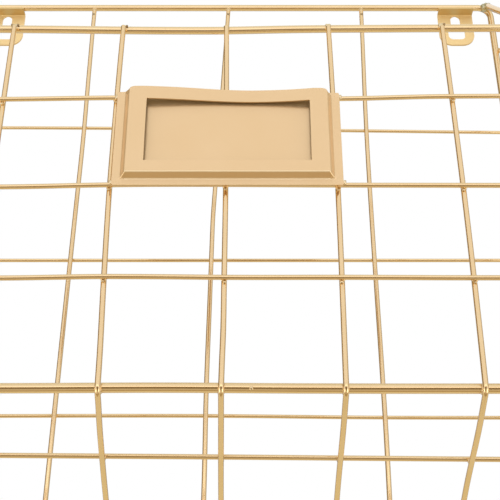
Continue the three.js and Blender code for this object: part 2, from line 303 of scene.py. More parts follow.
ROUGHNESS_SPREAD = 0.012
GRAIN_STRENGTH = 0.3

# Camera and stage
CAMERA_PLACE = (0.0121, -0.501, -0.437)
CAMERA_PITCH = 118.2
LENS = 72
FLOOR_HEIGHT = -0.62
FLOOR = ((0, 0, FLOOR_HEIGHT), (6, 6, 0))
CARD_LEVEL = FLOOR_HEIGHT + 0.01
FILL_STRENGTH = 1.1
NOISE_RANGE = (0.35, 0.65)
KEY_PLACE = (0.3, -1.0, 1.5)
KEY_TARGET = (0, 0, -0.15)
KEY_SIZE = (1.6, 0.7)
KEY_POWER = 5

# Cards, whose reflections are the wires' light and dark streaks: middle, size and colour
CARDS = {
    "camera_card": ((0, -0.47, -0.445), (0.6, 0, 0.33), (0.29, 0.22, 0.13)),
    "front_strip": ((0, -3, 0.175), (7, 0, 0.85), (1.6, 1.54, 1.42)),
    "high_card": ((0, -0.35, 1.3), (3, 1.1, 0), (0.84, 0.89, 0.78)),
    "near_card": ((0, -0.335, CARD_LEVEL), (0.6, 0.27, 0), (0.64, 0.57, 0.43)),
    "lower_card": ((0, -0.125, CARD_LEVEL), (1.8, 0.15, 0), (0.50, 0.385, 0.21)),
    "under_strip": ((0, 0.0025, CARD_LEVEL), (1.8, 0.105, 0), (0.80, 0.74, 0.56)),
    "rear_floor_card": ((0, 0.4275, CARD_LEVEL), (1.8, 0.745, 0), (0.80, 0.74, 0.50)),
    "left_glow": ((-0.67, -0.55, CARD_LEVEL), (0.7, 0.7, 0), (2.4, 2.3, 2)),
    "right_glow": ((0.67, -0.55, CARD_LEVEL), (0.7, 0.7, 0), (2.4, 2.3, 2)),
    "back_card": ((0, 1.4, 0.5), (4, 0, 2.4), (0.50, 0.48, 0.46)),
    "left_card": ((-1.3, 0.3, 0.8), (0, 1.5, 1.8), (0.28, 0.22, 0.11)),
    "right_card": ((1.3, 0.3, 0.8), (0, 1.5, 1.8), (0.62, 0.59, 0.49)),
}


# Geometry of the CAD wires

def cad_points(node):
    """The node's vertices, each once."""
    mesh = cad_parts[node].data
    points = np.array([v.co for v in mesh.vertices])
    return np.unique(points.round(5), axis=0)


def box_middle(node):
    lo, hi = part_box(node)
    return (lo + hi) / 2


def wire_end(node, towards):
    """Centre, outward direction and true radius at the end of a CAD wire."""
    points = cad_points(node)
    ring = points[np.argsort(points @ np.array(towards))[-CAD_SIDES:]]
    centre = ring.mean(axis=0)
    normal = np.linalg.svd(ring - centre)[2][2]
    if normal @ np.array(towards) < 0:
        normal = -normal
    radius = np.linalg.norm(ring - centre, axis=1).mean() * math.cos(math.pi / CAD_SIDES)
    return centre, normal, radius


def run_to_plane(centre, normal, y):
    """Where a run that ends at centre starts, on the plane of the given y."""
    return centre + normal * (y - centre[1]) / normal[1]


def straight_wire(node, axis=0):
    """A straight wire along X, or along another axis."""
    lo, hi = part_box(node)
    start, end = box_middle(node), box_middle(node)
    start[axis], end[axis] = lo[axis], hi[axis]
    return [start, end], (hi.z - lo.z) / 2


def band(node):
    """A wire from the rear, round the front and back to the rear."""
    lo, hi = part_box(node)
    radius = (hi.z - lo.z) / 2
    z = (lo.z + hi.z) / 2
    left = lo.x + radius
    right = hi.x - radius
    front = lo.y + radius
    return [(left, hi.y, z), (left, front, z), (right, front, z), (right, hi.y, z)], radius


def rear_frame():
    """A closed rectangle, from the middle of its bottom rail."""
    lo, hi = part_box("rear_frame")
    radius = (hi.y - lo.y) / 2
    y = (lo.y + hi.y) / 2
    left, right = lo.x + radius, hi.x - radius
    low, high = lo.z + radius, hi.z - radius
    corners = [(right, y, low), (right, y, high), (left, y, high), (left, y, low)]
    return [(0, y, low), *corners, (0, y, low)], radius


def side_frame(node):
    """A wire down from the rear frame to the front, down its corner and back along the floor."""
    top, top_way, radius = wire_end(node, RAIL_END)
    foot, foot_way, _ = wire_end(node, FLOOR_END)
    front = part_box(node)[0].y + radius
    knee = run_to_plane(top, top_way, front)
    heel = run_to_plane(foot, foot_way, front)
    return [top, knee, heel, foot], radius


def front_upright(node):
    """A wire down the front and back along the floor."""
    lo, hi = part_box(node)
    foot, foot_way, radius = wire_end(node, FLOOR_END)
    front = lo.y + radius
    return [(foot[0], front, hi.z), run_to_plane(foot, foot_way, front), foot], radius


def rear_upright(node):
    """A wire down the rear. The middle one has a slight bend half way."""
    top, _, radius = wire_end(node, UP)
    foot, _, _ = wire_end(node, -UP)
    points = [top, foot]
    if node == "rear_upright_middle":
        inner = cad_points(node)
        inner = inner[(inner[:, 2] < top[2] - END_SLACK) & (inner[:, 2] > foot[2] + END_SLACK)]
        points.insert(1, inner.mean(axis=0))
    return points, radius


# Centre lines

def rounded_path(points, bend):
    """The path through the points with a round bend at each inner one, and its straight runs."""
    points = [Vector(p) for p in points]
    path = [points[0]]
    runs = []
    for before, corner, after in zip(points, points[1:], points[2:]):
        into = (corner - before).normalized()
        out = (after - corner).normalized()
        turn = into.angle(out)
        start = corner - into * bend * math.tan(turn / 2)
        axis = into.cross(out).normalized()
        centre = start + axis.cross(into) * bend
        runs.append((path[-1], start))
        steps = max(2, math.ceil(bend * turn / BEND_STEP))
        for i in range(steps + 1):
            path.append(centre + Matrix.Rotation(turn * i / steps, 3, axis) @ (start - centre))
    runs.append((path[-1], points[-1]))
    path.append(points[-1])
    return path, runs


def smooth_curve(wanted, places, values):
    """A smooth curve through the values at the places, level beyond their ends."""
    slopes = np.gradient(values, places)
    wanted = np.clip(wanted, places[0], places[-1])
    i = np.clip(np.searchsorted(places, wanted) - 1, 0, len(places) - 2)
    span = places[i + 1] - places[i]
    t = (wanted - places[i]) / span
    ends = (1 + 2 * t) * (1 - t) ** 2 * values[i] + t * t * (3 - 2 * t) * values[i + 1]
    return ends + span * t * (1 - t) * ((1 - t) * slopes[i] - t * slopes[i + 1])


class Wire:
    """One wire: its node, centre line, radius, way of straying and the places of its welds."""

    def __init__(self, node, shape, bend=MM, sway=UP):
        points, self.radius = shape
        self.node = node
        self.path, self.runs = rounded_path(points, bend)
        self.sway = np.array(sway)
        self.welds = []
        self.closed = node == "rear_frame"

    def stray(self, places, distances):
        """The shifts of points on the centre line, at distances along it."""
        if self.node not in STRAY:
            return np.zeros((len(places), 3))
        at, shifts = np.array(STRAY[self.node]).T * MM
        measure = distances if self.sway[0] else places[:, 0]
        return np.outer(smooth_curve(measure, at, shifts), self.sway)

    def stray_at(self, place):
        """The shift of the centre line's point nearest to a place."""
        points, along = lengths_along(self.path)
        distance = along_of(points, along, place)
        return Vector(self.stray(np.array([place]), np.array([distance]))[0])


def all_wires():
    wires = [Wire("rear_frame", rear_frame(), REAR_FRAME_BEND)]
    for name in ("left", "middle", "right"):
        node = f"rear_upright_{name}"
        wires.append(Wire(node, rear_upright(node), MIDDLE_UPRIGHT_BEND, ACROSS))
    for name in ("lower", "middle", "upper"):
        node = f"rear_crosswire_{name}"
        wires.append(Wire(node, straight_wire(node)))
        wires.append(Wire(f"band_{name}", band(f"band_{name}"), BAND_BEND))
    for side in ("left", "right"):
        node = f"side_frame_{side}"
        wires.append(Wire(node, side_frame(node), SIDE_FRAME_BEND, ACROSS))
        for level in ("middle", "upper"):
            node = f"side_wire_{level}_{side}"
            wires.append(Wire(node, straight_wire(node, 1)))
    for node in ("front_top_rail", "front_bottom_rail"):
        wires.append(Wire(node, straight_wire(node)))
    wires.append(Wire("floor_crosswire", straight_wire("floor_crosswire"), MM, FLOOR_END))
    for number in range(1, 6):
        node = f"front_upright_{number}"
        wires.append(Wire(node, front_upright(node), UPRIGHT_BEND, ACROSS))
    return wires


# Welds

class Weld:
    """A weld: its place, the direction through it, one along it, its reach across and its depth."""

    def __init__(self, place, normal, along, reach, depth):
        self.place = place
        self.normal = normal
        self.along = along
        self.reach = reach
        self.depth = depth


def beyond(point, run):
    """How far a point on a run's line lies past the run's ends."""
    start, end = run
    length = (end - start).length
    place = (point - start).dot((end - start) / length)
    return max(-place, place - length, 0)


def weld_between(one, other, run_one, run_other):
    """The weld between two runs, or None where they don't meet."""
    found = geometry.intersect_line_line(*run_one, *run_other)
    if found is None:
        return None
    near_one, near_other = found
    past_one = beyond(near_one, run_one)
    past_other = beyond(near_other, run_other)
    apart = (near_other - near_one).length
    tangent_one = (run_one[1] - run_one[0]).normalized()
    tangent_other = (run_other[1] - run_other[0]).normalized()
    reach = one.radius + other.radius + WELD_CLEARANCE
    thin = min(one.radius, other.radius)
    if past_one < END_SLACK and past_other < END_SLACK and thin < apart < reach:
        normal = (near_other - near_one).normalized()
        place = near_one + normal * (one.radius + (apart - one.radius - other.radius) / 2)
        return Weld(place, normal, tangent_one, thin * CROSSING_BEAD[0], thin * CROSSING_BEAD[1])
    if apart > max(one.radius, other.radius):
        return None
    for past, near, tangent, run, wire, target in (
        (past_one, near_one, tangent_one, run_one, one, other),
        (past_other, near_other, tangent_other, run_other, other, one),
    ):
        if END_SLACK < past < target.radius + WELD_CLEARANCE:
            way = tangent if (near - run[0]).length > (near - run[1]).length else -tangent
            place = near - way * target.radius
            size = [wire.radius * share for share in END_BEAD]
            return Weld(place, way, tangent.orthogonal(), *size)
    return None


def find_welds(wires):
    """The welds between all pairs of wires, also noted on the wires."""
    welds = []
    for one, other in itertools.combinations(wires, 2):
        for run_one, run_other in itertools.product(one.runs, other.runs):
            weld = weld_between(one, other, run_one, run_other)
            if weld is None:
                continue
            weld.place += one.stray_at(weld.place) + other.stray_at(weld.place)
            if any((w.place - weld.place).length < WELD_SPACING for w in welds):
                continue
            welds.append(weld)
            one.welds.append(weld.place)
            other.welds.append(weld.place)
    return welds


# Meshes

def linked(name, data):
    """A new object in the scene."""
    thing = bpy.data.objects.new(name, data)
    bpy.context.scene.collection.objects.link(thing)
    return thing


def add_object(name, mesh, materials, nodes):
    """A visible piece that stands for the nodes."""
    piece = linked(name, mesh)
    for material in materials:
        mesh.materials.append(material)
    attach(piece, "root")
    if nodes:
        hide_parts(*nodes)
    return piece


def shade_smooth(mesh):
    mesh.polygons.foreach_set("use_smooth", [True] * len(mesh.polygons))


def mesh_from(bm, name):
    mesh = bpy.data.meshes.new(name)
    bm.to_mesh(mesh)
    bm.free()
    shade_smooth(mesh)
    return mesh


def lengths_along(path):
    """The path's points and the distance along it to each."""
    points = np.array(path)
    steps = np.linalg.norm(np.diff(points, axis=0), axis=1)
    return points, np.concatenate(([0], np.cumsum(steps)))


def stations(wire):
    """Distances along the wire's centre line, closer together at bends, welds and ends."""
    points, along = lengths_along(wire.path)
    total = along[-1]
    wanted = list(np.linspace(0, total, max(3, round(total / STRAIGHT_STEP) + 1)))
    for i, step in enumerate(np.diff(along)):
        if step < 1.5 * BEND_STEP:
            wanted += [along[i], along[i + 1]]
    for weld in wire.welds:
        near = along_of(points, along, weld)
        wanted += list(np.arange(near - WELD_REACH, near + WELD_REACH, WELD_STEP))
    wanted += [RIM_ROUND, total - RIM_ROUND]
    wanted = np.unique(np.clip(wanted, 0, total))
    keep = np.concatenate(([True], np.diff(wanted) > LEAST_STEP))
    return points, along, wanted[keep]


def along_of(points, along, place):
    """Distance along the path of its point nearest to a place."""
    starts, ends = points[:-1], points[1:]
    ways = ends - starts
    lengths = np.linalg.norm(ways, axis=1)
    ways = ways / lengths[:, None]
    reach = np.clip(((np.array(place) - starts) * ways).sum(axis=1), 0, lengths)
    nearest = starts + ways * reach[:, None]
    best = np.linalg.norm(nearest - np.array(place), axis=1).argmin()
    return along[best] + reach[best]


def ring_frames(centres, closed):
    """Two directions across the path at each station, carried along it without twist."""
    tangents = np.gradient(centres, axis=0)
    if closed:
        tangents[0] = tangents[-1] = centres[1] - centres[-2]
    tangents /= np.linalg.norm(tangents, axis=1)[:, None]
    side = np.array(Vector(tangents[0]).orthogonal().normalized())
    sides = []
    for tangent in tangents:
        side = side - tangent * (side @ tangent)
        side = side / np.linalg.norm(side)
        sides.append(side)
    sides = np.array(sides)
    return sides, np.cross(tangents, sides)


def wire_mesh(wire):
    """The wire as a smooth tube that strays with its centre line."""
    points, along, wanted = stations(wire)
    centres = np.array([np.interp(wanted, along, points[:, axis]) for axis in range(3)]).T
    centres = centres + wire.stray(centres, wanted)
    if wire.closed:
        wanted, centres = wanted[1:-1], centres[1:-1]
        centres = np.vstack((centres, centres[:1]))
    sides, ups = ring_frames(centres, wire.closed)
    radii = np.full(len(centres), wire.radius)
    if not wire.closed:
        radii[[0, -1]] -= RIM_ROUND
    angles = np.arange(TUBE_SIDES) * 2 * math.pi / TUBE_SIDES
    rings = [
        centre + radius * (np.outer(np.cos(angles), side) + np.outer(np.sin(angles), up))
        for centre, radius, side, up in zip(centres, radii, sides, ups)
    ]
    return tube_from_rings(wire.node + "_wire", rings, wire.closed)


def tube_from_rings(name, rings, closed):
    """A tube through the rings, with capped ends or closed on itself."""
    if closed:
        rings = rings[:-1]
    vertices = np.vstack(rings)
    count = len(rings)
    faces = []
    for i in range(count if closed else count - 1):
        near = i * TUBE_SIDES
        far = ((i + 1) % count) * TUBE_SIDES
        for k in range(TUBE_SIDES):
            n = (k + 1) % TUBE_SIDES
            faces.append((near + k, near + n, far + n, far + k))
    if not closed:
        last = (count - 1) * TUBE_SIDES
        faces.append(tuple(reversed(range(TUBE_SIDES))))
        faces.append(tuple(range(last, last + TUBE_SIDES)))
    mesh = bpy.data.meshes.new(name)
    mesh.from_pydata([tuple(v) for v in vertices], [], faces)
    mesh.validate()
    shade_smooth(mesh)
    return mesh


def mark_stains(mesh, places):
    """Gives each vertex a value that is 1 at a weld and fades with the distance from it."""
    points = np.array([v.co for v in mesh.vertices])
    stain = np.zeros(len(points))
    for place in places:
        distance = np.linalg.norm(points - np.array(place), axis=1)
        stain = np.maximum(stain, np.exp(-(distance / STAIN_RADIUS) ** 2))
    attribute = mesh.attributes.new("weld_stain", "FLOAT", "POINT")
    attribute.data.foreach_set("value", stain.astype(np.float32))


def bead(bm, weld, seed):
    """A flat lump of weld metal between two wires, with small lobes in the corners between them."""
    normal = weld.normal
    along = (weld.along - normal * weld.along.dot(normal)).normalized()
    across = normal.cross(along)
    rows = []
    for i in range(1, BEAD_RINGS):
        tilt = math.pi * (i / BEAD_RINGS - 0.5)
        row = []
        for k in range(BEAD_SIDES):
            angle = 2 * math.pi * k / BEAD_SIDES
            cos, sin = math.cos(angle), math.sin(angle)
            lobes = 1 + BEAD_LOBES * math.cos(4 * (angle - math.pi / 4))
            spot = (cos * BEAD_NOISE_SCALE, sin * BEAD_NOISE_SCALE, seed * BEAD_NOISE_STEP + tilt)
            rough = 1 + BEAD_ROUGHNESS * noise.noise(Vector(spot))
            out = weld.reach * lobes * rough * math.cos(tilt) ** BEAD_FULLNESS
            flat = along * cos + across * sin
            through = normal * weld.depth * math.sin(tilt) * rough
            row.append(bm.verts.new(weld.place + flat * out + through))
        rows.append(row)
    for row, following in zip(rows, rows[1:]):
        for k in range(BEAD_SIDES):
            n = (k + 1) % BEAD_SIDES
            bm.faces.new((row[k], row[n], following[n], following[k]))
    bm.faces.new(list(reversed(rows[0])))
    bm.faces.new(rows[-1])


def beads_mesh(name, welds):
    bm = bmesh.new()
    for i, weld in enumerate(welds):
        bead(bm, weld, i)
    mesh = mesh_from(bm, name)
    mark_stains(mesh, [w.place for w in welds])
    return mesh


# Label holder

def grid_lines(stops):
    """Places from stop to stop, in the steps given between them."""
    lines = [stops[0]]
    for start, step, end in zip(stops[::2], stops[1::2], stops[2::2]):
        count = max(1, round((end - start) / step))
        lines += [start + (end - start) * (i + 1) / count for i in range(count)]
    return np.array(lines) * MM


def soft_ramp(t, turn):
    """0 below 0, 1 above 1, a straight slope between, with rounded turns."""

    def above(value):
        return 0.5 * (value + np.sqrt(value * value + turn * turn))

    return above(t) - above(t - 1)


def soft_least(a, b, turn):
    """The lesser of two values, with a rounded turn where they meet."""
    return 0.5 * (a + b - np.sqrt((a - b) ** 2 + turn * turn))


def holder_top(x):
    """How far the stamped frame's top edge lies below its highest level, at x from its centre."""
    flange_drop = np.where(x < 0, LEFT_FLANGE_DROP, RIGHT_FLANGE_DROP)
    x = np.abs(x)
    round_part = np.clip((x - FACE_HALF + TOP_CORNER_WIDTH) / TOP_CORNER_WIDTH, 0, 1)
    face_drop = TOP_CORNER_DROP * (1 - np.sqrt(1 - round_part ** 2))
    bevel_drop = (flange_drop - TOP_CORNER_DROP) * np.clip((x - FACE_HALF) / BEVEL, 0, 1)
    return face_drop + bevel_drop


def snapped(points, centre, radius, quadrant):
    """The points, with those beyond the arc in a corner's quadrant moved onto it."""
    offset = points - centre
    distance = np.linalg.norm(offset, axis=-1)
    here = (offset[..., 0] * quadrant[0] > 0) & (offset[..., 1] * quadrant[1] > 0)
    scale = np.where(here & (distance > radius), radius / np.maximum(distance, TINY), 1)
    return centre + offset * scale[..., None]


def sheet_mesh(name, grid, front, back, keep, highlighted):
    """A sheet between two surfaces over a grid of x and z, with a rim round its kept cells.

    Its back and the rim of its window's upper part take the second material, a dark painted shade,
    and cells just above and below the lower bevel the third, a painted highlight.
    """
    rows, columns = front.shape
    bm = bmesh.new()
    near, far = (
        [[bm.verts.new((x, y, z)) for (x, z), y in zip(*row)] for row in zip(grid, level)]
        for level in (front, back)
    )
    for r in range(rows - 1):
        for c in range(columns - 1):
            if not keep[r, c]:
                continue
            outer = bm.faces.new((near[r][c], near[r][c + 1], near[r + 1][c + 1], near[r + 1][c]))
            # Cells along the lower bevel's folds take the painted highlight
            outer.material_index = 2 * int(highlighted[r, c])
            inner = bm.faces.new((far[r][c], far[r + 1][c], far[r + 1][c + 1], far[r][c + 1]))
            # The frame's back takes the dark painted shade
            inner.material_index = 1
    partner = dict(zip(itertools.chain(*near), itertools.chain(*far)))
    rim = [e for e in bm.edges if len(e.link_faces) == 1 and e.verts[0] in partner]
    for edge in rim:
        loop = edge.link_loops[0]
        first, second = loop.vert, loop.link_loop_next.vert
        wall = bm.faces.new((second, first, partner[first], partner[second]))
        # The window's upper rim takes the dark painted shade
        wall.material_index = int(near_window(wall.calc_center_median(), grid))
    bmesh.ops.delete(bm, geom=[v for v in bm.verts if not v.link_faces], context="VERTS")
    bmesh.ops.remove_doubles(bm, verts=bm.verts, dist=MERGE_REACH)
    mark_rims(bm)
    return mesh_from(bm, name)


def near_window(place, grid):
    """Whether a place on a rim belongs to the window's upper edge, which takes the dark painted
    shade.
    """
    middle = grid.reshape(-1, 2).mean(axis=0)
    rise = place.z - middle[1]
    return abs(place.x - middle[0]) < WINDOW_HALF and 0 < rise < WINDOW_TALL / 2 + WINDOW_MARGIN


def mark_rims(bm):
    """Gives the sharp edges the weight that the Bevel modifier looks for."""
    weight = bm.edges.layers.float.new("bevel_weight_edge")
    for edge in bm.edges:
        if len(edge.link_faces) == 2 and edge.calc_face_angle(0) > SHARP:
            edge[weight] = 1


def round_rims(piece, width):
    """Rounds the marked edges."""
    bevel = piece.modifiers.new("rim", "BEVEL")
    bevel.width = width
    bevel.segments = 2
    bevel.limit_method = "WEIGHT"
    piece.modifiers.new("normals", "WEIGHTED_NORMAL")


def holder_grid(tall):
    """The x and z of the stamped frame's grid, from its foot's middle."""
    side = grid_lines(GRID_SIDE)
    across = np.concatenate((-side[::-1], grid_lines(GRID_MIDDLE)[1:-1], side))
    upwards = grid_lines(GRID_UP)
    return np.meshgrid(across, upwards * tall / upwards[-1])


def kept_cells(x, z, half):
    """Which cells aren't in the window or beyond the lower corners' arcs."""
    window = (np.abs(x) < WINDOW_HALF) & (z > WINDOW_LOW) & (z < WINDOW_LOW + WINDOW_TALL)
    out_x = np.abs(x) - (half - HOLDER_CORNER)
    out_z = HOLDER_CORNER - z
    beyond_arc = (out_x > 0) & (out_z > 0) & (out_x ** 2 + out_z ** 2 > HOLDER_CORNER ** 2)
    return ~(window | beyond_arc)


def highlight_cells(x, z):
    """Which cells lie just above or just below the lower bevel, where the folds get a painted
    highlight.
    """
    above = z - FLANGE_BELOW - LOW_BEVEL
    below = FLANGE_BELOW - z
    lips = ((0 < above) & (above < LIP_REACH)) | ((0 < below) & (below < LIP_REACH))
    return lips & (np.abs(x) < FACE_HALF)


def holder_levels(x, z, wall):
    """The y of the stamped frame's front and back, where wall is its plate's y."""
    low_inset = (z - FLANGE_BELOW) * BEVEL / LOW_BEVEL
    side_inset = FACE_HALF + BEVEL - np.abs(x)
    inset = soft_least(side_inset, low_inset, MITRE_TURN)
    turn = np.where(low_inset < side_inset, LOW_TURN, SIDE_TURN)
    bow = bow_of(x, z)
    ripple = surface_ripple(x, z, FRAME_SEED)
    front = wall - SHEET - RAISE * soft_ramp(inset / BEVEL, turn) + bow + ripple
    back = wall - RAISE * soft_ramp((inset - WALL_SHIFT) / BEVEL, turn) + bow + ripple
    return front, np.minimum(back, wall)


def label_frame_piece(finishes):
    """The stamped frame in front of the label card."""
    lo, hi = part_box("label_frame")
    half = (hi.x - lo.x) / 2
    tall = hi.z - lo.z
    x, z = holder_grid(tall)
    grid = np.stack((x, z), axis=-1)
    middle_x = (x[1:, 1:] + x[:-1, :-1]) / 2
    middle_z = (z[1:, 1:] + z[:-1, :-1]) / 2
    for way in (-1, 1):
        corner = np.array((way * (half - HOLDER_CORNER), HOLDER_CORNER))
        grid = snapped(grid, corner, HOLDER_CORNER, (way, -1))
    warp = np.clip((z - (tall - TOP_EDGE_TALL)) / TOP_EDGE_TALL, 0, 1)
    grid[..., 1] -= holder_top(x) * warp
    grid[..., 1] += left_lift(x, z, tall)
    grid[..., 0] += (lo.x + hi.x) / 2
    grid[..., 1] += lo.z
    front, back = holder_levels(x, z, hi.y)
    keep = kept_cells(middle_x, middle_z, half)
    highlighted = highlight_cells(middle_x, middle_z)
    mesh = sheet_mesh("label_frame_sheet", grid, front, back, keep, highlighted)
    materials = [finishes[name] for name in ("sheet_gold", "sheet_painted_shade", "sheet_painted_highlight")]
    piece = add_object("label_frame_sheet", mesh, materials, ["label_frame"])
    round_rims(piece, HOLDER_RIM)


def smooth_step(t):
    """0 below 0, 1 above 1 and a smooth rise between."""
    t = np.clip(t, 0, 1)
    return t * t * (3 - 2 * t)


def bow_of(x, z):
    """The strip above the window is pushed back, most of all just right of its middle."""
    share = np.clip(x / BOW_WIDTH + 0.5, 0, 1) ** BOW_LEAN
    return STRIP_BOW * 4 * share * (1 - share) * smooth_step((z - BOW_LOW) / BOW_BLEND)


def left_lift(x, z, tall):
    """The stamped frame stands a little higher at its left."""
    upper = np.clip(z / tall - 0.5, 0, 1) * 2
    return LEFT_LIFT * smooth_step((LIFT_START - x) / LIFT_WIDTH) * upper


def surface_ripple(x, z, seed):
    """Shallow unevenness of pressed sheet, behind its nominal surface."""
    scaled = zip(x.ravel() * RIPPLE_SCALE, z.ravel() * RIPPLE_SCALE)
    heights = np.array([noise.noise(Vector((a, b, seed))) for a, b in scaled])
    return RIPPLE * (1 + heights.reshape(x.shape))


def plate_piece(finishes):
    """The flat plate behind the stamped frame."""
    lo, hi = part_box("label_back_plate")
    centre_x = (lo.x + hi.x) / 2
    half = (hi.x - lo.x) / 2

    def ripple(x, z):
        return surface_ripple(np.array(x - centre_x), np.array(z - lo.z), PLATE_SEED)

    outline = rounded_outline(half, hi.z - lo.z, HOLDER_CORNER, HOLDER_CORNER)
    bm = bmesh.new()
    add_loop(bm, [(x + centre_x, z + lo.z) for x, z in outline])
    fill_loops(bm)
    for step in PLATE_CUTS:
        cut(bm, (centre_x + step * MM, 0, 0), ACROSS)
    thicken(bm, ripple, lo.y, hi.y)
    mark_rims(bm)
    mesh = mesh_from(bm, "label_plate_sheet")
    materials = [finishes["sheet_gold"]]
    piece = add_object("label_plate_sheet", mesh, materials, ["label_back_plate"])
    round_rims(piece, HOLDER_RIM)


# Sheet pieces from an outline in x and a second coordinate

def arc(centre_x, centre_y, radius, start, end, steps=CORNER_STEPS):
    """Points on an arc between two angles in degrees."""
    angles = np.radians(np.linspace(start, end, steps + 1))
    return [(centre_x + radius * math.cos(a), centre_y + radius * math.sin(a)) for a in angles]


def rounded_outline(half, tall, low, high):
    """A rectangle standing on 0, with the radii of its lower and its upper corners."""
    return (
        arc(-half + low, low, low, 180, 270)
        + arc(half - low, low, low, 270, 360)
        + arc(half - high, tall - high, high, 0, 90)
        + arc(-half + high, tall - high, high, 90, 180)
    )


def add_loop(bm, outline):
    """A closed loop of edges in the plane of y = 0."""
    verts = [bm.verts.new((x, 0, z)) for x, z in outline]
    for a, b in zip(verts, verts[1:] + verts[:1]):
        bm.edges.new((a, b))


def fill_loops(bm):
    bmesh.ops.triangle_fill(bm, use_beauty=True, edges=bm.edges)


def cut(bm, place, normal):
    """Splits the mesh along a plane, and keeps both sides."""
    everything = bm.verts[:] + bm.edges[:] + bm.faces[:]
    bmesh.ops.bisect_plane(bm, geom=everything, dist=CUT_REACH, plane_co=place, plane_no=normal)


def thicken(bm, ripple, front, back):
    """Turns the flat fill into a closed sheet between two levels of y."""
    for face in bm.faces:
        face.normal_update()
        if face.normal.y > 0:
            face.normal_flip()
    made = bmesh.ops.extrude_face_region(bm, geom=bm.faces[:])
    far = {v for v in made["geom"] if isinstance(v, bmesh.types.BMVert)}
    for vert in bm.verts:
        vert.co.y = (back if vert in far else front) + float(ripple(vert.co.x, vert.co.z))
    bmesh.ops.recalc_face_normals(bm, faces=bm.faces)


def keyhole(low):
    """The keyhole's outline, in x from the tab's centre and the distance up its sheet.

    Its round end is centred on the hanging height, z = 0, and low is the z of the tab's foot.
    """
    half = OPENING_WIDTH / 2
    top = OPENING_LOW + OPENING_TALL
    corner = OPENING_CORNER
    low_corner = OPENING_LOW_CORNER
    foot = OPENING_LOW + low_corner
    return [
        *arc(-half + low_corner, foot, low_corner, 180, 270, OPENING_LOW_STEPS),
        *arc(half - low_corner, foot, low_corner, 270, 360, OPENING_LOW_STEPS),
        *arc(half - corner, top - corner, corner, 0, 90, OPENING_STEPS),
        (LOBE_RADIUS, top),
        *arc(0, -low, LOBE_RADIUS, 0, 180, LOBE_STEPS),
        (-LOBE_RADIUS, top),
        *arc(-half + corner, top - corner, corner, 90, 180, OPENING_STEPS),
    ]


def bent_place(x, up, offset, low, high):
    """A point of the flat sheet on the bent tab, whose foot and top are at low and high.

    The offset is outwards from the sheet's middle.
    """
    bend_height = high - TAB_OUTER
    straight = bend_height - low
    if up <= straight:
        return x, -TAB_SHEET / 2 + offset, low + up
    angle = (up - straight) / TAB_MIDDLE_BEND
    radius = TAB_MIDDLE_BEND + offset
    if angle <= math.pi / 2:
        return x, -TAB_OUTER + radius * math.cos(angle), bend_height + radius * math.sin(angle)
    along = up - straight - TAB_MIDDLE_BEND * math.pi / 2
    return x, -TAB_OUTER - along, bend_height + radius


def tab_piece(side, finishes):
    """A hanging tab: a flat sheet with a keyhole, bent to a flange. The flange is painted darker as
    painted shade, and the flat sheet lighter as painted light.
    """
    node = f"hanging_tab_{side}"
    lo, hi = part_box(node)
    centre_x = (lo.x + hi.x) / 2
    half = (hi.x - lo.x) / 2
    straight = hi.z - TAB_OUTER - lo.z
    curve = TAB_MIDDLE_BEND * math.pi / 2
    flat = straight + curve + (-lo.y - TAB_OUTER)
    bm = bmesh.new()
    add_loop(bm, rounded_outline(half, flat, TAB_CORNER, FLANGE_CORNER))
    add_loop(bm, keyhole(lo.z))
    fill_loops(bm)
    for i in range(BEND_CUTS + 1):
        cut(bm, (0, 0, straight + curve * i / BEND_CUTS), UP)
    for x in (-TAB_CUT, TAB_CUT):
        cut(bm, (x, 0, 0), ACROSS)
    thicken(bm, lambda x, z: 0, -TAB_SHEET / 2, TAB_SHEET / 2)
    for vert in bm.verts:
        vert.co = bent_place(vert.co.x + centre_x, vert.co.z, vert.co.y, lo.z, hi.z)
    # The flange's faces take the darker painted shade, the rest the lighter painted light
    for face in bm.faces:
        face.material_index = int(face.calc_center_median().y < -FLANGE_START)
    mark_rims(bm)
    mesh = mesh_from(bm, node + "_sheet")
    materials = [finishes["tab_painted_light"], finishes["flange_painted_shade"]]
    piece = add_object(node + "_sheet", mesh, materials, [node])
    round_rims(piece, TAB_RIM)


# Materials

def node_material(name):
    material = bpy.data.materials.new(name)
    material.use_nodes = True
    nodes = material.node_tree.nodes
    nodes.clear()
    return material, nodes, material.node_tree.links


def shader_node(nodes, kind, values):
    """A node with the given values of its inputs."""
    node = nodes.new("ShaderNode" + kind)
    for name, value in values.items():
        node.inputs[name].default_value = value
    return node


def noise_node(nodes, links, coordinates, scale, detail):
    """A noise from 0 to 1."""
    texture = shader_node(nodes, "TexNoise", {"Scale": scale, "Detail": detail})
    links.new(coordinates, texture.inputs["Vector"])
    return texture.outputs["Fac"]


def ramp_node(nodes, links, value, low, high):
    """A noise's usual range stretched to a range of its own."""
    wanted = {"From Min": NOISE_RANGE[0], "From Max": NOISE_RANGE[1], "To Min": low, "To Max": high}
    mapped = shader_node(nodes, "MapRange", wanted)
    links.new(value, mapped.inputs["Value"])
    return mapped.outputs["Result"]


def mix_colour(nodes, links, factor, first, second):
    """A blend of two colours, each a tuple or the output of a node."""
    mixed = nodes.new("ShaderNodeMix")
    mixed.data_type = "RGBA"
    links.new(factor, mixed.inputs["Factor"])
    for socket, colour in ((mixed.inputs[6], first), (mixed.inputs[7], second)):
        if isinstance(colour, tuple):
            socket.default_value = (*colour, 1)
        else:
            links.new(colour, socket)
    return mixed.outputs[2]


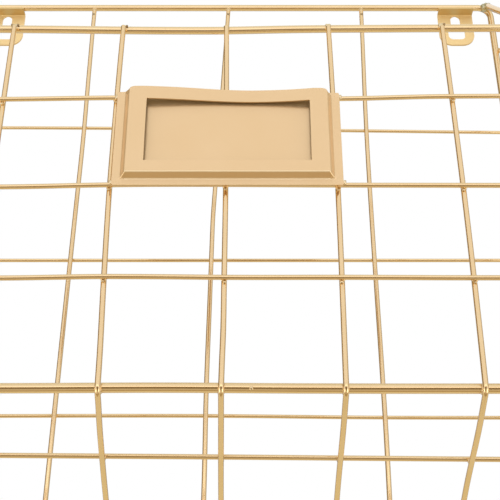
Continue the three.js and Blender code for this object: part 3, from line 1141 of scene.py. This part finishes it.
def gold_material(name, colours, metallic, roughness, grain, bump_height, stain):
    """Satin champagne gold over steel: slight cloudiness, fine grain, and stains at the welds."""
    material, nodes, links = node_material(name)
    coordinates = nodes.new("ShaderNodeTexCoord").outputs["Object"]
    clouds = noise_node(nodes, links, coordinates, CLOUD_SCALE, 3)
    patches = noise_node(nodes, links, coordinates, PATCH_SCALE, 4)
    fine = noise_node(nodes, links, coordinates, grain, 2)
    colour = mix_colour(nodes, links, ramp_node(nodes, links, clouds, 0, CLOUD_SHARE), *colours)
    if stain:
        mark = nodes.new("ShaderNodeAttribute")
        mark.attribute_name = "weld_stain"
        uneven = ramp_node(nodes, links, patches, *STAIN_SHARES)
        amount = nodes.new("ShaderNodeMath")
        amount.operation = "MULTIPLY"
        links.new(mark.outputs["Fac"], amount.inputs[0])
        links.new(uneven, amount.inputs[1])
        colour = mix_colour(nodes, links, amount.outputs[0], colour, WELD_STAIN)
    shader = shader_node(nodes, "BsdfPrincipled", {"Metallic": metallic})
    links.new(colour, shader.inputs["Base Color"])
    rough = (roughness - ROUGHNESS_SPREAD, roughness + ROUGHNESS_SPREAD)
    links.new(ramp_node(nodes, links, clouds, *rough), shader.inputs["Roughness"])
    values = {"Strength": GRAIN_STRENGTH, "Distance": bump_height}
    bump = shader_node(nodes, "Bump", values)
    links.new(fine, bump.inputs["Height"])
    links.new(bump.outputs["Normal"], shader.inputs["Normal"])
    output = nodes.new("ShaderNodeOutputMaterial")
    links.new(shader.outputs["BSDF"], output.inputs["Surface"])
    return material


# Stage

def stage_plane(name, middle, size, material):
    """A rectangle that isn't part of the object, and is flat along the axis of no size."""
    first, second = (axis for axis in (ACROSS, BACK, UP) if axis.dot(size))
    halves = [axis * axis.dot(size) / 2 for axis in (first, second)]
    ways = ((-1, -1), (1, -1), (1, 1), (-1, 1))
    corners = [Vector(middle) + halves[0] * a + halves[1] * b for a, b in ways]
    mesh = bpy.data.meshes.new(name)
    mesh.from_pydata(corners, [], [(0, 1, 2, 3)])
    mesh.materials.append(material)
    plane = linked(name, mesh)
    return plane


def card(name, middle, size, colour):
    """A studio card that only shows in reflections."""
    material, nodes, links = node_material(name)
    glow = shader_node(nodes, "Emission", {"Color": (*colour, 1)})
    output = nodes.new("ShaderNodeOutputMaterial")
    links.new(glow.outputs["Emission"], output.inputs["Surface"])
    plane = stage_plane(name, middle, size, material)
    plane.visible_camera = False
    plane.visible_diffuse = False
    plane.visible_shadow = False
    plane.visible_transmission = False


def floor_material():
    """A pale floor that gives the object's underside a warm, dim light."""
    material, nodes, links = node_material("pale_floor")
    coordinates = nodes.new("ShaderNodeTexCoord").outputs["Object"]
    clouds = noise_node(nodes, links, coordinates, 6, 3)
    tone = tuple(c * FLOOR_SHADE for c in FLOOR_TONE)
    colour = mix_colour(nodes, links, clouds, FLOOR_TONE, tone)
    values = {"Roughness": 0.85, "Specular IOR Level": 0.2}
    shader = shader_node(nodes, "BsdfPrincipled", values)
    links.new(colour, shader.inputs["Base Color"])
    bounce = shader_node(nodes, "Emission", {"Color": (*FLOOR_BOUNCE, 1)})
    path = nodes.new("ShaderNodeLightPath")
    mixed = nodes.new("ShaderNodeMixShader")
    links.new(path.outputs["Is Diffuse Ray"], mixed.inputs["Fac"])
    links.new(shader.outputs["BSDF"], mixed.inputs[1])
    links.new(bounce.outputs["Emission"], mixed.inputs[2])
    output = nodes.new("ShaderNodeOutputMaterial")
    links.new(mixed.outputs[0], output.inputs["Surface"])
    return material


def key_lamp():
    """A large soft lamp from above, which reflections don't see."""
    data = bpy.data.lights.new("key", "AREA")
    data.shape = "RECTANGLE"
    data.size, data.size_y = KEY_SIZE
    data.energy = KEY_POWER
    lamp = linked("key", data)
    lamp.location = KEY_PLACE
    way = Vector(KEY_TARGET) - Vector(KEY_PLACE)
    lamp.rotation_euler = way.to_track_quat("-Z", "Y").to_euler()
    lamp.visible_glossy = False


def light_world():
    """White where the camera, gloss or glass looks, and softer as fill."""
    world = bpy.data.worlds.new("studio")
    bpy.context.scene.world = world
    world.use_nodes = True
    nodes = world.node_tree.nodes
    links = world.node_tree.links
    nodes.clear()
    path = nodes.new("ShaderNodeLightPath")
    white = shader_node(nodes, "Background", {"Color": (1, 1, 1, 1)})
    fill = shader_node(nodes, "Background", {"Color": (1, 1, 1, 1), "Strength": FILL_STRENGTH})
    seen = path.outputs["Is Camera Ray"]
    for name in ("Is Glossy Ray", "Is Transmission Ray"):
        either = nodes.new("ShaderNodeMath")
        either.operation = "MAXIMUM"
        links.new(seen, either.inputs[0])
        links.new(path.outputs[name], either.inputs[1])
        seen = either.outputs[0]
    mixed = nodes.new("ShaderNodeMixShader")
    links.new(seen, mixed.inputs["Fac"])
    links.new(fill.outputs[0], mixed.inputs[1])
    links.new(white.outputs[0], mixed.inputs[2])
    output = nodes.new("ShaderNodeOutputWorld")
    links.new(mixed.outputs[0], output.inputs["Surface"])


def make_camera():
    data = bpy.data.cameras.new("camera")
    data.lens = LENS
    camera = linked("camera", data)
    camera.location = CAMERA_PLACE
    camera.rotation_euler = (math.radians(CAMERA_PITCH), 0, 0)
    bpy.context.scene.camera = camera


def make_stage():
    """The floor, the cards and the light."""
    floor = stage_plane("floor", *FLOOR, floor_material())
    floor.visible_glossy = False
    for name, (middle, size, colour) in CARDS.items():
        card(name, middle, size, colour)
    key_lamp()
    light_world()
    bpy.context.scene.view_settings.view_transform = "Standard"


# The object

def squeezed_metal(wires, welds):
    """Small knobs of weld metal on the front uprights, below each band."""
    radii = {wire.node: wire.radius for wire in wires}
    aside, forward, down = (KNOB_REACH * share for share in KNOB_PLACE)
    below = radii["band_lower"] + down
    levels = [box_middle(f"band_{level}").z for level in ("lower", "middle", "upper")]
    rail_y = box_middle("front_top_rail").y
    knobs = []
    for i, weld in enumerate(welds):
        near = min(abs(weld.place.z - level) for level in levels)
        if abs(weld.normal.y) < FACING or near > WELD_SPACING or weld.place.y > rail_y:
            continue
        place = weld.place + Vector((aside * math.sin(i * KNOB_TURNS[0]), forward, -below))
        reach = KNOB_REACH * (KNOB_SIZES[0] + KNOB_SIZES[1] * math.cos(i * KNOB_TURNS[1]))
        knobs.append(Weld(place, FORWARD, ACROSS, reach, reach * KNOB_DEPTH))
    return knobs


def label_welds():
    """Spots where the bands meet the holder's side edges."""
    lo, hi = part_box("label_back_plate")
    welds = []
    for level in ("middle", "upper"):
        band_lo, band_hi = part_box(f"band_{level}")
        z = (band_lo.z + band_hi.z) / 2
        for x, way in ((lo.x, -1), (hi.x, 1)):
            place = Vector((x + way * LABEL_SPOT_OUT, hi.y + LABEL_SPOT_BACK, z))
            welds.append(Weld(place, BACK, UP, *LABEL_SPOT))
    return welds


def tab_welds():
    """Spots between the tabs' flanges and the rear rail."""
    welds = []
    for side in ("left", "right"):
        lo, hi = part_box(f"hanging_tab_{side}")
        rail_y = box_middle("rear_frame").y
        for share in TAB_SPOT_SHARES:
            place = Vector((lo.x + (hi.x - lo.x) * share, rail_y, hi.z + TAB_SPOT_RISE))
            welds.append(Weld(place, UP, ACROSS, *TAB_SPOT))
    return welds


def corner_welds():
    """Lumps where the side frames and the upper corners of the rear frame meet."""
    welds = []
    for side, inward in (("left", 1), ("right", -1)):
        node = f"side_frame_{side}"
        top, way, radius = wire_end(node, RAIL_END)
        stray = Vector((STRAY[node][0][1] * MM, 0, 0))
        place = Vector(top + way * CORNER_GAP) + stray
        size = [radius * share for share in CORNER_BEAD]
        welds.append(Weld(place, Vector(way), ACROSS, *size))
        aside, back, up = (radius * share for share in CORNER_LUMP_PLACE)
        lump = place + Vector((inward * aside, back, up))
        welds.append(Weld(lump, FORWARD, ACROSS, radius * CORNER_LUMP, radius * CORNER_LUMP))
    return welds


def rail_drop():
    """A stray drop of weld metal on the front bottom rail."""
    lo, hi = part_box("front_bottom_rail")
    outward = Vector(DROP_WAY)
    place = box_middle("front_bottom_rail") + outward * (hi.z - lo.z) / 2
    place.x = DROP_PLACE
    return Weld(place, outward, ACROSS, *DROP_SIZE)


def flash_welds(wires):
    """Dark weld flash beside some front uprights' tops, and dark spots on the rear uprights just
    below the rail.
    """
    rail = next(wire for wire in wires if wire.node == "front_top_rail")
    welds = []
    for number, side in FLASH_SIDES:
        node = f"front_upright_{number}"
        lo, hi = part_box(node)
        shift = STRAY[node][0][1] * MM
        place = box_middle(rail.node) + Vector(FLASH_ON_RAIL) * rail.radius
        place.x = (lo.x + hi.x) / 2 + shift + side * ((hi.x - lo.x) / 2 + FLASH_REACH / 2)
        place += rail.stray_at(place)
        welds.append(Weld(place, Vector(FLASH_WAY), ACROSS, FLASH_REACH, FLASH_REACH))
    size = [FLASH_REACH * share for share in UPRIGHT_FLASH]
    for name in ("left", "middle", "right"):
        top, _, thin = wire_end(f"rear_upright_{name}", UP)
        place = Vector(top) + Vector((0, -thin * FLASH_ON_UPRIGHT, -FLASH_DROP))
        welds.append(Weld(place, FORWARD, ACROSS, *size))
    return welds


def weld_groups(welds):
    """The welds by where they are: at the front, at the rear, or on the floor and the sides."""
    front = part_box("front_bottom_rail")[1].y
    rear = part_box("rear_frame")[0].y - WELD_SPACING
    groups = {"front": [], "rear": [], "floor": []}
    for weld in welds:
        if weld.place.y < front:
            groups["front"].append(weld)
        elif weld.place.y > rear:
            groups["rear"].append(weld)
        else:
            groups["floor"].append(weld)
    return groups


def build_object():
    """The wires, their welds and the sheet pieces."""
    finishes = {name: gold_material(name, *values) for name, values in FINISHES.items()}
    wires = all_wires()
    crossings = find_welds(wires)
    welds = [*crossings, *squeezed_metal(wires, crossings), *label_welds(), *tab_welds()]
    welds.append(rail_drop())
    for wire in wires:
        mesh = wire_mesh(wire)
        mark_stains(mesh, wire.welds)
        add_object(wire.node + "_wire", mesh, [finishes["wire_gold"]], [wire.node])
    groups = [(place, group, "weld_gold") for place, group in weld_groups(welds).items()]
    groups.append(("corner", corner_welds(), "weld_bare"))
    groups.append(("flash", flash_welds(wires), "weld_dark"))
    for place, group, finish in groups:
        name = f"weld_beads_{place}"
        add_object(name, beads_mesh(name, group), [finishes[finish]], [])
    label_frame_piece(finishes)
    plate_piece(finishes)
    for side in ("left", "right"):
        tab_piece(side, finishes)


make_camera()
make_stage()
build_object()
